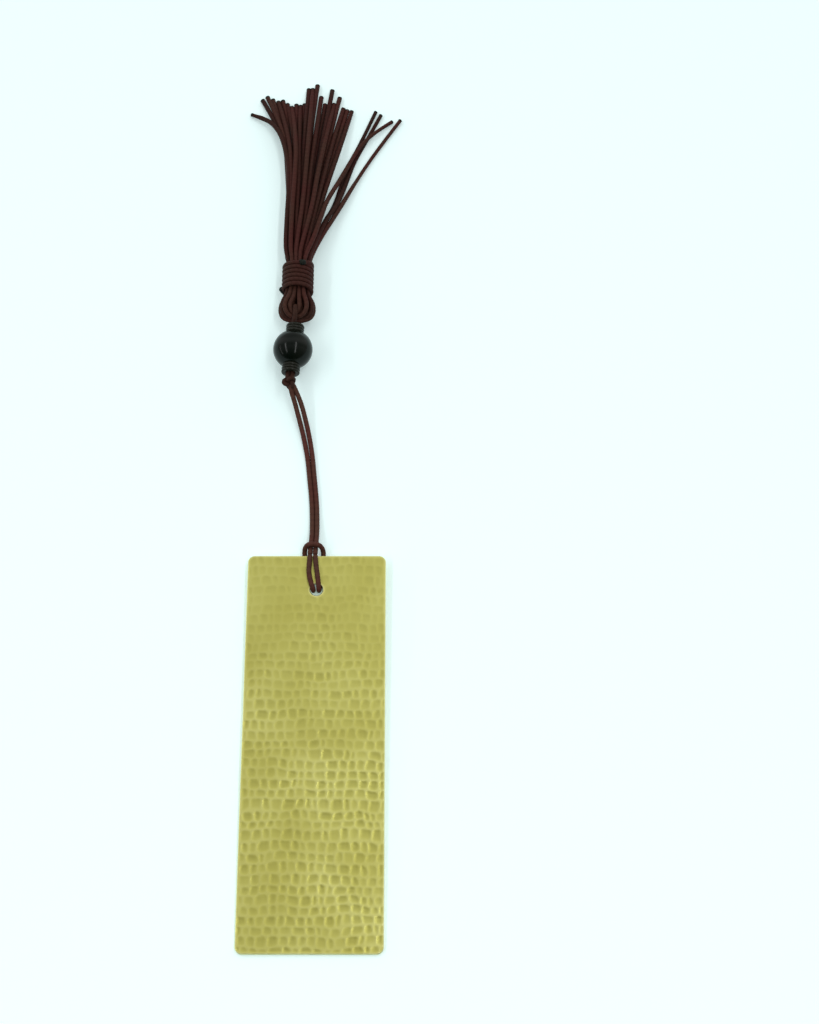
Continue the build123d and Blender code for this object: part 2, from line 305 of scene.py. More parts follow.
def tubeSwell(line, marks, angles, radius, look, closed, bulk):
    phase = marks[:, None] / (braid["lay"] * look["diameter"] * mm) * 2 * math.pi
    turn = braid["carriers"] * angles[None, :]
    plait = np.cos(turn + 2 * phase) * np.cos(turn - 2 * phase)
    swell = radius * (1 + 2 * braid["depth"] * plait)
    if bulk is not None:
        swell = swell * bulk(line)[:, None]
    toEnd = np.minimum(marks, marks[-1] - marks)
    seal = look["seal"] * mm
    if seal:  # melted ends swell
        swell = swell * (1 + look["sealSwell"] * np.clip(1 - toEnd / seal, 0, 1) ** 0.5)[:, None]
    if not closed:  # the cut ends are a little rounded
        ends = toEnd[:, None] / (2 * radius)
        swell = swell * (1 - braid["endDraw"] * np.clip(1 - ends / braid["endRound"], 0, 1) ** 2)
    return swell, toEnd < seal


def tubeFaces(ringCount, sides, runs, closed):
    faces, uvs = [], []
    for ring in range(len(runs) - 1):
        after = (ring + 1) % ringCount
        near, far = runs[ring], runs[ring + 1]
        for side in range(sides):
            beside = (side + 1) % sides
            faces.append((ring * sides + side, ring * sides + beside,
                          after * sides + beside, after * sides + side))
            low, high = side / sides, (side + 1) / sides
            uvs += [(near, low), (near, high), (far, high), (far, low)]
    if not closed:
        for ring, order in ((0, -1), (ringCount - 1, 1)):
            faces.append(tuple(ring * sides + side for side in range(sides))[::order])
            uvs += [(runs[ring], 0.5)] * sides
    return faces, uvs


def tubeMesh(name, line, look, finish, closed=False, facing=None, flatten=(1.0, 1.0), bulk=None, toneAndShade=1.0):
    radius = look["diameter"] * look["girth"] * mm / 2
    sides = look["sides"]
    line, marks = evenLine(line, look["step"] * mm)
    across, upward = carriedFrames(line, facing)
    angles = np.linspace(0, 2 * math.pi, sides, endpoint=False)
    swell, sealed = tubeSwell(line, marks, angles, radius, look, closed, bulk)
    rings = (line[:, None, :]
             + (swell * np.cos(angles) * flatten[0])[:, :, None] * across[:, None, :]
             + (swell * np.sin(angles) * flatten[1])[:, :, None] * upward[:, None, :])
    ringCount = len(line) - 1 if closed else len(line)
    places = rings[:ringCount].reshape(-1, 3)
    faces, uvs = tubeFaces(ringCount, sides, marks / (2 * radius), closed)
    mesh = bpy.data.meshes.new(name)
    mesh.from_pydata(places.tolist(), [], faces)
    layer = mesh.uv_layers.new(name="cordUV")
    layer.data.foreach_set("uv", np.array(uvs, dtype=np.float32).ravel())
    mesh.polygons.foreach_set("use_smooth", [len(face) == 4 for face in faces])
    mesh.attributes.new("toneAndShade", "FLOAT", "POINT").data.foreach_set("value", [toneAndShade] * len(places))
    mesh.materials.append(finish)
    if look["seal"]:
        mesh.materials.append(sealFinish)
        slots = np.repeat(sealed[:-1], sides).tolist() + [True, True]
        mesh.polygons.foreach_set("material_index", np.array(slots, dtype=np.int32))
    mesh.validate()
    piece = link(bpy.data.objects.new(name, mesh))
    return piece, line


def lineLength(line):
    return float(np.linalg.norm(np.diff(line, axis=0), axis=1).sum())


# the blade's lean on the cord behind it
blade = {
    "length": 115.0, "width": 40.0, "thickness": 1.0, "corner": 2.0, "edge": 0.15,
    "hole": 1.8, "holeEdge": 0.2, "holeInset": 10.5, "holeRings": (6, 16), "cell": 0.26,
    "edgeFade": (0.2, 0.6), "holeFade": (0.15, 0.5), "sharpAngle": 28,
}
topEdge = blade["length"] / 2
holeY = topEdge - blade["holeInset"]
frontZ = blade["thickness"] + cord["seat"] + cord["diameter"] / 2
backZ = -cord["seat"] - cord["diameter"] / 2
leanRun = holeY + (frontZ - backZ) / 2 + topEdge - blade["edge"]
lean = math.atan2(cord["diameter"] + 2 * cord["seat"], leanRun)
bladeRise = (0, blade["thickness"] / 2 * math.sin(lean), (topEdge - blade["edge"]) * math.sin(lean))
bladePlace = Matrix.Translation(bladeRise) @ Matrix.Rotation(lean, 4, "X")


# the hitch through the hole: x and share of the way from hole to top edge; the bight is beyond that edge
hitch = {
    "leftFront": [(-2.0, 1.0), (-2.15, 0.79), (-2.3, 0.5), (-1.75, 0.23), (-0.9, 0.0)],
    "leftBack": [(-0.9, 0.0), (-1.5, 0.25), (-2.9, 0.61), (-3.55, 0.94)],
    "rightBack": [(1.7, 0.94), (1.45, 0.61), (1.05, 0.25), (0.7, 0.0)],
    "rightFront": [(0.7, 0.0), (0.5, 0.23), (0.1, 0.5), (-0.35, 0.79), (-0.5, 1.0)],
    "bight": [(-3.7, 1.1, -0.63), (-3.65, 2.0, 0.5), (-3.2, 2.6, 2.1), (-2.2, 2.85, 3.1),
              (-0.25, 2.85, 3.1), (1.1, 2.6, 2.1), (1.7, 2.0, 0.5), (1.8, 1.1, -0.63)],
}


def hitchRoute():
    def leg(points, z):
        return [(x, holeY + share * blade["holeInset"], z) for x, share in points]

    bight = [(x, topEdge + beyond, z) for x, beyond, z in hitch["bight"]]
    route = (leg(hitch["leftFront"], frontZ) + leg(hitch["leftBack"], backZ) + bight
             + leg(hitch["rightBack"], backZ) + leg(hitch["rightFront"], frontZ))
    return [bladePlace @ Vector(point) for point in route]


hitchPiece, hitchLine = tubeMesh("cordHitch", splineLine("hitchRoute", hitchRoute()), cord, cordFinish)
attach(hitchPiece, "plate")
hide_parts("cord_hitch")
print("hitch", round(lineLength(hitchLine) / mm, 1))


# the bead, and the stopper knot below it
bead = {"x": -8.46, "y": 123.95, "radius": 6.0, "length": 16.5, "yaw": 4.0}
beadAxis = Vector((math.sin(math.radians(bead["yaw"])), math.cos(math.radians(bead["yaw"])), 0))
beadCentre = Vector((bead["x"], bead["y"], bead["radius"]))
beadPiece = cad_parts["bead"]
beadPiece.data.materials.clear()
beadPiece.data.materials.append(polishedBead(beadLook, beadCentre, bead["yaw"]))
print("bead", bead["length"])

# painted shade: the knot and the loop are drawn with a colour factor of 0.52, darker than the same cord
# where it hangs
knot = {
    "gap": 0.2, "lead": 0.7, "reach": 2.2, "unit": 0.58, "rise": 1.5, "points": 24,
    "turn": 18.0, "tip": 30.0, "toneAndShade": 0.52,
}
knotCentre = beadCentre - beadAxis * (bead["length"] / 2 + knot["lead"] + knot["gap"] + knot["reach"])


def knotRoute():  # a trefoil
    tip = Matrix.Rotation(math.radians(knot["tip"]), 3, "X")
    turn = Matrix.Rotation(math.radians(knot["turn"]), 3, "Z")
    route = []
    for step in range(knot["points"]):
        t = 2 * math.pi * step / knot["points"]
        lobe = Vector((math.sin(t) + 2 * math.sin(2 * t), math.cos(t) - 2 * math.cos(2 * t),
                       -knot["rise"] * math.sin(3 * t)))
        route.append(knotCentre + tip @ turn @ lobe * knot["unit"])
    return route


knotPiece, knotLine = tubeMesh("stopperKnot", splineLine("knotRoute", knotRoute(), True), drawnCord,
                               cordFinish, True, toneAndShade=knot["toneAndShade"])
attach(knotPiece, "knot")
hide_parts("stopper_knot")
print("knot", round(lineLength(knotLine) / mm, 1))


# the two free strands, from the blade's top edge into the knot
hanging = {
    "edgeRun": 1.2, "startGap": 0.05, "bendStart": (61.0, 2.6), "bendEnd": (72.0, 0.8),
    "left": [(-1.77, 61.5, 2.6), (-1.62, 65.5, 1.55), (-1.73, 70.5, 0.85), (-1.98, 76.0, 0.74),
             (-2.91, 84.5, 0.75), (-3.48, 90.0, 0.74), (-4.9, 97.1, 1.25), (-6.55, 103.3, 2.6),
             (-7.65, 107.2, 4.0), (-8.7, 110.3, 5.1)],
    "right": [(-0.33, 61.5, 2.6), (-0.2, 65.5, 1.55), (-0.31, 70.5, 0.85), (-0.56, 76.0, 0.74),
              (-1.49, 84.5, 0.75), (-2.0, 90.0, 0.74), (-3.15, 97.1, 1.25), (-4.65, 103.3, 2.6),
              (-5.85, 107.2, 4.0), (-7.6, 111.15, 5.1)],
    "inKnot": {"left": (0.2, -0.6, -0.2), "right": (0.9, -0.4, 0.2)},
}
for side, startX in (("left", hitch["leftFront"][0][0]), ("right", hitch["rightFront"][-1][0])):
    overEdge = [bladePlace @ Vector((startX, topEdge + run, frontZ))
                for run in (hanging["startGap"], hanging["edgeRun"])]
    inKnot = knotCentre + Vector(hanging["inKnot"][side])
    route = overEdge + [Vector(point) for point in hanging[side]] + [inKnot]
    name = "hangingCord" + side.capitalize()
    piece, line = tubeMesh(name, splineLine(name + "Route", route), cord, cordFinish)
    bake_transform(piece)
    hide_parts("hanging_cord_" + side)
    print(name, round(lineLength(line) / mm, 1))


# the loop from the knot through the bead and the tassel's eye
loop = {
    "boreLead": 0.5, "inKnot": 1.0,
    "over": [(-8.1, 134.1, 7.3), (-7.9, 135.7, 7.95), (-7.95, 137.2, 7.9), (-8.1, 139.0, 6.9)],
    "under": [(-7.6, 139.4, 0.8), (-7.6, 135.7, 0.85), (-7.5, 133.6, 1.6), (-7.35, 133.2, 3.8)],
}


def loopRoute():
    apart = beadAxis.cross(Vector((0, 0, 1))) * (cord["diameter"] / 2 + cord["seat"] / 2)
    knotEnd = beadCentre - beadAxis * (bead["length"] / 2 + knot["lead"])
    tasselEnd = beadCentre + beadAxis * (bead["length"] / 2 + loop["boreLead"])
    inKnot = knotCentre + beadAxis * loop["inKnot"]
    return ([inKnot - apart, knotEnd - apart, tasselEnd - apart] + loop["over"] + loop["under"]
            + [tasselEnd + apart, knotEnd + apart, inKnot + apart])


loopPiece, loopLine = tubeMesh("tasselLoop", splineLine("loopRoute", loopRoute()), cord, cordFinish,
                               toneAndShade=knot["toneAndShade"])
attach(loopPiece, "loop")
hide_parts("tassel_loop")
print("loop", round(lineLength(loopLine) / mm, 1))


# the tassel's folded cords; nudges and strays go by column and row
tassel = {
    "x": -7.6, "eyeY": 139.2, "rowFolds": [2, 3, 3, 3, 2], "cordDiameter": 1.1, "pitch": 1.16, "restZ": 0.80,
    "headLead": 0.1, "neckLead": 0.6, "seed": 5, "tones": (0.75, 1.3),
    # the head: a list has one value for each fold, from the inside out
    "bends": [1.45, 3.1, 4.8], "foldHeights": [2.07, 1.19, 0.91], "cheeks": [1.0, 1.2, 1.42],
    "slit": [-0.6, -0.3, 0.0], "foldCorners": 4, "stagger": 0.22, "headSwell": 1.1, "poleDip": 0.3,
    "poleStack": 0.4, "shoulderRise": 0.3, "shoulderStep": 0.5, "neckStep": 0.5,
    # girth: the first two places are measured from the head's end, the others from the neck's
    "bulkRuns": [-1.5, 0.6, -0.6, 5.0], "bulk": [1.16, 0.98, 0.98, 1.22],
    "strayX": [-23.0, -21.2, 6.0, 10.0], "strayGirth": [0.8, 1.0, 1.0, 0.8],
    # the skirt: a list has one value for each column, from the left
    "swell": 1.2, "swellRun": 3.8, "baseShifts": [-0.45, -0.35, -0.1, 0.0, 0.0, 0.0],
    "middles": [-17.9, -14.15, -6.3, -0.75, 5.7, 11.0], "flares": [7.0, 6.0, 0.8, 0.9, 1.1, 0.8],
    "fans": [3.0, 2.0, 1.0, 1.0, 1.0, 1.0], "sinks": [6.0, 6.0, 4.5, 3.8, 1.8, 1.6],
    "shares": [0.3, 0.5, 0.75], "waver": 0.3,
    "nudges": {(0, 1): 0.5, (0, 2): 0.5, (2, 4): 0.45, (3, 0): -0.45, (3, 1): -0.65, (3, 3): -0.5,
               (4, 0): -0.4, (4, 1): -0.3, (4, 3): -0.4},
    "tips": [
        [(-20.95, 219.3), (-19.4, 220.5), (-24.4, 213.6)],
        [(-14.35, 219.1), (-17.6, 219.5), (-12.82, 217.7), (-15.8, 218.6), (-11.35, 216.5)],
        [(-7.2, 217.7), (-9.85, 217.5), (-5.9, 223.6), (-8.5, 217.0), (-4.65, 223.6)],
        [(-0.5, 217.7), (-3.1, 225.2), (1.75, 223.2), (-1.8, 220.5), (2.4, 217.7)],
        [(6.8, 215.4), (4.2, 220.3), (8.2, 215.0), (5.5, 216.0), (21.4, 210.9)],
        [(16.0, 214.8), (24.0, 211.5), (17.7, 213.5)],
    ],
    "strays": {
        (0, 3): [(-11.6, 159.2, 5.91), (-11.6, 168.0, 5.9), (-11.2, 181.0, 5.85), (-11.3, 190.5, 5.7),
                 (-13.5, 201.5, 4.7), (-16.9, 208.4, 3.2), (-21.0, 211.9, 1.5)],
        (4, 4): [(-2.9, 163.0, 6.95), (-0.8, 171.0, 6.4), (0.8, 177.8, 5.2), (5.1, 187.6, 2.8),
                 (10.6, 200.2, 1.95), (15.8, 206.3, 1.6)],
        (5, 1): [(-2.1, 163.0, 3.1), (-0.5, 170.9, 2.3), (3.2, 177.7, 1.5), (5.4, 187.3, 0.75),
                 (7.7, 194.9, 0.65), (11.3, 202.8, 0.61)],
        (5, 2): [(-0.9, 165.0, 4.0), (4.2, 175.5, 2.4), (10.3, 188.7, 1.0), (16.7, 200.3, 0.65)],
        (5, 3): [(-2.2, 163.2, 5.4), (0.5, 171.0, 4.15), (4.3, 178.2, 3.0), (6.9, 187.6, 1.2),
                 (9.1, 195.2, 0.7), (12.8, 203.0, 0.62)],
    },
}
binding = {
    "startY": 144.6, "halfTurns": 13, "pitch": 1.48, "firstAngle": 235.0, "pointsPerTurn": 14,
    "leadPoints": 2, "tailPoints": 1, "pull": 0.12, "flatten": (1.22, 1.42),
    "endLift": [0.7, 0.55, 0.2], "endSlip": [1.9, 1.2, 0.35],
}
rows = len(tassel["rowFolds"])
folds = max(tassel["rowFolds"])
waver = np.random.default_rng(tassel["seed"])


def layerZ(row):
    return (row - (rows - 1) / 2) * tassel["pitch"]


packed = tassel["cordDiameter"] / 2 + max(
    math.hypot((count - 0.5) * tassel["pitch"], layerZ(row)) for row, count in enumerate(tassel["rowFolds"]))
bindingRadius = packed + cord["seat"] + wound["diameter"] / 2
tasselZ = math.hypot(bindingRadius, binding["pitch"] / 4) + wound["diameter"] / 2
bindingEnd = binding["startY"] + binding["halfTurns"] * binding["pitch"] / 2
headEnd = binding["startY"] - wound["diameter"] / 2 - tassel["headLead"]
neckEnd = bindingEnd + wound["diameter"] / 2 + tassel["neckLead"]


def headRoute(side, fold, row):
    bend = tassel["bends"][fold] + min(fold, 1) * tassel["stagger"] * (-1) ** row
    corner = math.pi / tassel["foldCorners"]
    reach = bend / math.cos(corner / 2)
    slitX = tassel["x"] + tassel["slit"][fold] * max(layerZ(row), 0) / layerZ(rows - 1)
    headZ = tasselZ + layerZ(row) * tassel["headSwell"]
    # at the pole the folds come together, the inner ones over the outer ones
    stack = fold * tassel["poleStack"] * np.sign(layerZ(row))
    poleZ = tasselZ + (headZ - tasselZ) * (1 - tassel["poleDip"]) - stack
    cheek = tassel["cheeks"][fold]
    route = []
    for step in range(tassel["foldCorners"] // 2):
        angle = (step + 0.5) * corner
        across = reach * math.sin(angle) * (1 if step else cheek)
        height = tassel["foldHeights"][fold] * reach * math.cos(angle) * (cheek if step else 1)
        route.append((slitX + side * across, tassel["eyeY"] - height, headZ if step else poleZ))
    shoulder = tassel["eyeY"] + tassel["shoulderRise"] + fold * tassel["shoulderStep"]
    return route + [(slitX + side * bend, shoulder, headZ)]


def skirtRoute(column, row, neckX, z, tipX, tipY):
    baseX = tassel["x"] + (neckX - tassel["x"]) * tassel["swell"] + tassel["baseShifts"][column]
    middle = tassel["middles"][column]
    nudge = tassel["nudges"].get((column, row), 0)
    route = [(baseX, neckEnd + tassel["swellRun"], z)]
    for share in tassel["shares"]:
        flare = (middle - baseX) * share ** tassel["flares"][column]
        fan = (tipX - middle) * share ** tassel["fans"][column]
        sunk = (tassel["restZ"] - z) * share ** tassel["sinks"][column]
        drift = waver.uniform(-1, 1) * tassel["waver"] + nudge
        route.append((baseX + (flare + fan) + drift, neckEnd + (tipY - neckEnd) * share, z + sunk))
    return route


def legRoute(side, fold, row):
    column = folds + fold if side > 0 else folds - 1 - fold
    inColumn = [other for other, count in enumerate(tassel["rowFolds"]) if count > fold]
    tipX, tipY = tassel["tips"][column][inColumn.index(row)]
    neckX = tassel["x"] + side * (fold + 0.5) * tassel["pitch"]
    neckStart = headEnd - (folds - 1 - fold) * tassel["neckStep"]
    z = tasselZ + layerZ(row)
    route = headRoute(side, fold, row) + [(neckX, neckStart, z), (neckX, neckEnd, z)]
    if (column, row) in tassel["strays"]:
        route += tassel["strays"][column, row]
    else:
        route += skirtRoute(column, row, neckX, z, tipX, tipY)
    return route + [(tipX, tipY, tassel["restZ"])]


def strandBulk(line):
    places = np.array([headEnd, headEnd, neckEnd, neckEnd]) + tassel["bulkRuns"]
    along = np.interp(line[:, 1] / mm, places, tassel["bulk"])
    # the ends that stray from the skirt are drawn thin
    return along * np.interp(line[:, 0] / mm, tassel["strayX"], tassel["strayGirth"])


number = 0
for row, count in enumerate(tassel["rowFolds"]):
    for fold in range(count):
        number += 1
        route = legRoute(-1, fold, row)[::-1] + legRoute(1, fold, row)
        name = f"tasselStrand{number:02d}"
        piece, line = tubeMesh(name, splineLine(name + "Route", route), strand, strandFinish,
                               bulk=strandBulk, toneAndShade=waver.uniform(*tassel["tones"]))
        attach(piece, "tassel")
        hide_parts(f"tassel_strand_{number:02d}")
print("strands", number)


# the cord wound round the tassel's neck, drawn flat by its own pull
def bindingRoute():
    turnsPer = binding["pointsPerTurn"]
    first = -binding["leadPoints"]
    last = binding["halfTurns"] * turnsPer // 2 + binding["tailPoints"]
    # the smooth spline runs a little inside its points
    radius = (bindingRadius + binding["pull"]) / math.cos(math.pi / turnsPer) ** 0.5
    route = []
    for step in range(first, last + 1):
        angle = math.radians(binding["firstAngle"]) + 2 * math.pi * step / turnsPer
        fromEnd = min(step - first, last - step)
        loose = fromEnd < len(binding["endLift"])
        outward = radius + (binding["endLift"][fromEnd] if loose else 0)
        slip = binding["endSlip"][fromEnd] if loose else 0
        slip = slip if step - first < last - step else -slip
        route.append((tassel["x"] + outward * math.cos(angle),
                      binding["startY"] + step / turnsPer * binding["pitch"] + slip,
                      tasselZ + outward * math.sin(angle)))
    return route


def awayFromNeck(line):
    return line * np.array((1.0, 0.0, 1.0)) - np.array((tassel["x"] * mm, 0.0, tasselZ * mm))


bindingPiece, bindingLine = tubeMesh("tasselBinding", splineLine("bindingRoute", bindingRoute()), wound,
                                     strandFinish, facing=awayFromNeck, flatten=binding["flatten"])
for vertex in bindingPiece.data.vertices:  # pressed flat where it lies on the table
    vertex.co.z = max(vertex.co.z, 0.0)
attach(bindingPiece, "tassel")
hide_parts("tassel_binding")
print("binding", round(lineLength(bindingLine) / mm, 1))


# the flat blade: a grid drawn in at the corners and round the hole
bladeCore = np.array((blade["width"] / 2 - blade["corner"], blade["length"] / 2 - blade["corner"]))
holeRim = blade["hole"] + blade["holeEdge"]


def flatBlade():
    x = blade["width"] / 2 - blade["edge"]
    y = blade["length"] / 2 - blade["edge"]
    arc = blade["corner"] - blade["edge"]
    columns = 2 * round(x / blade["cell"])
    lines = round(2 * y / blade["cell"])
    gridX, gridY = np.meshgrid(np.linspace(-x, x, columns + 1), np.linspace(-y, y, lines + 1))
    # corners: squares of the grid are drawn in to arcs
    u = np.abs(gridX) - (x - arc)
    v = np.abs(gridY) - (y - arc)
    inCorner = (u > 0) & (v > 0)
    drawn = np.where(inCorner, np.maximum(u, v) / np.maximum(np.hypot(u, v), tiny), 1.0)
    gridX = np.where(inCorner, np.sign(gridX) * (x - arc + u * drawn), gridX)
    gridY = np.where(inCorner, np.sign(gridY) * (y - arc + v * drawn), gridY)
    # hole: squares of the grid round it become circles
    midColumn = columns // 2
    midLine = round((holeY + y) / (2 * y) * lines)
    across, along = np.meshgrid(np.arange(columns + 1) - midColumn, np.arange(lines + 1) - midLine)
    ring = np.maximum(np.abs(across), np.abs(along))
    inner, outer = blade["holeRings"]
    far = np.maximum(np.hypot(across, along), tiny)
    circle = holeRim + (ring - inner) * (2 * y / lines)
    share = np.clip((ring - inner) / (outer - inner), 0, 1)
    gridX = gridX * share + (circle * across / far) * (1 - share)
    gridY = gridY * share + (holeY + circle * along / far) * (1 - share)
    return gridX, gridY, ring


def fillBack(mesh, loops):
    form = bmesh.new()
    form.from_mesh(mesh)
    form.verts.ensure_lookup_table()
    rims = []
    for points in loops:
        for one, two in zip(points, points[1:] + points[:1]):
            rims.append(form.edges.get((form.verts[one], form.verts[two])))
    bmesh.ops.triangle_fill(form, use_beauty=True, edges=rims, normal=(0, 0, -1))
    loose = [vertex for vertex in form.verts if not vertex.link_faces]
    bmesh.ops.delete(form, geom=loose, context="VERTS")
    form.to_mesh(mesh)
    form.free()


# how much of a hammer mark each point takes: none on the edge, all a little way in; where it takes none, on
# the edge, the sides and round the hole, the brass gets the ramp's brightest colour, a painted edge
# highlight
def storeTake(mesh):
    spots = np.array([vertex.co for vertex in mesh.vertices]) / mm
    flat = spots[:, :2]
    toEdge = blade["corner"] - np.linalg.norm(flat - np.clip(flat, -bladeCore, bladeCore), axis=1)
    toHole = np.hypot(spots[:, 0], spots[:, 1] - holeY) - holeRim
    take = (spots[:, 2] > blade["thickness"] - blade["edge"] / 2).astype(float)
    for reach, (start, run) in ((toEdge, blade["edgeFade"]), (toHole, blade["holeFade"])):
        take *= np.clip((reach - start) / run, 0, 1)
    mesh.attributes.new("take", "FLOAT", "POINT").data.foreach_set("value", take.astype(np.float32))


def bladeMesh():
    gridX, gridY, ring = flatBlade()
    lines, columns = gridX.shape
    top = blade["thickness"]
    inner = blade["holeRings"][0]
    places = np.stack([gridX, gridY, np.full_like(gridX, top)], axis=2).reshape(-1, 3).tolist()
    index = np.arange(lines * columns).reshape(lines, columns)
    corners = np.stack([index[:-1, :-1], index[:-1, 1:], index[1:, 1:], index[1:, :-1]], axis=2)
    inHole = np.maximum.reduce([ring[:-1, :-1], ring[:-1, 1:], ring[1:, 1:], ring[1:, :-1]]) <= inner
    faces = corners[~inHole].tolist()
    outline = [*index[0, :-1], *index[:-1, -1], *index[-1, :0:-1], *index[:0:-1, 0]]
    midLine, midColumn = np.argwhere(ring == 0)[0]
    low, high = midLine - inner, midLine + inner
    left, right = midColumn - inner, midColumn + inner
    holeLine = [*index[low, left:right], *index[low:high, right],
                *index[high, right:left:-1], *index[high:low:-1, left]]

    def lower(above, moved, z, flip):
        start = len(places)
        places.extend([(x, y, z) for x, y in moved])
        count = len(above)
        below = list(range(start, start + count))
        for step in range(count):
            after = (step + 1) % count
            quad = (above[step], below[step], below[after], above[after])
            faces.append(quad[::-1] if flip else quad)
        return below

    flat = np.array([places[point][:2] for point in outline])
    nearest = np.clip(flat, -bladeCore, bladeCore)
    outward = (flat - nearest) / np.linalg.norm(flat - nearest, axis=1)[:, None]
    wide = flat + outward * blade["edge"]
    side = lower(outline, wide, top - blade["edge"], False)
    side = lower(side, wide, blade["edge"], False)
    backOuter = lower(side, flat, 0.0, False)
    rimFlat = np.array([places[point][:2] for point in holeLine])
    bore = (rimFlat - (0, holeY)) * (blade["hole"] / holeRim) + (0, holeY)
    side = lower(holeLine, bore, top - blade["holeEdge"], True)
    side = lower(side, bore, blade["holeEdge"], True)
    backInner = lower(side, rimFlat, 0.0, True)
    mesh = bpy.data.meshes.new("brassBlade")
    mesh.from_pydata([tuple(c * mm for c in place) for place in places], [], faces)
    fillBack(mesh, (backOuter, backInner))
    storeTake(mesh)
    return mesh


# the hammer marks
hammer = {
    "lengths": {
        "rowSpacing": 2.9, "markSpacing": 2.7, "sway": 0.7, "wander": 1.5, "depth": 0.14, "markRadius": 1.08,
        "rowInset": 0.12, "sideInset": 0.08, "fadeStart": -12.0, "fadeEnd": 42.0,
    },
    "factors": {
        "rowJitter": 0.4, "jitter": 0.95, "rowStep": 37.0, "lightest": 0.4, "hardest": 1.2, "tip": 1.2,
        "fadeTo": 0.35, "patchScale": 48.0, "patchLow": 0.6, "patchHigh": 1.0,
        "paintedLightFrom": 0.5, "paintedLightLevel": 0.58,
    },
    # noise scale and shift
    "wobbles": {"wander": (70.0, 0.0), "rowSway": (230.0, 0.7), "markSway": (240.0, 0.3)},
    "noiseDetail": 1.0, "patchSpan": (0.38, 0.6), "seed": 11,
}


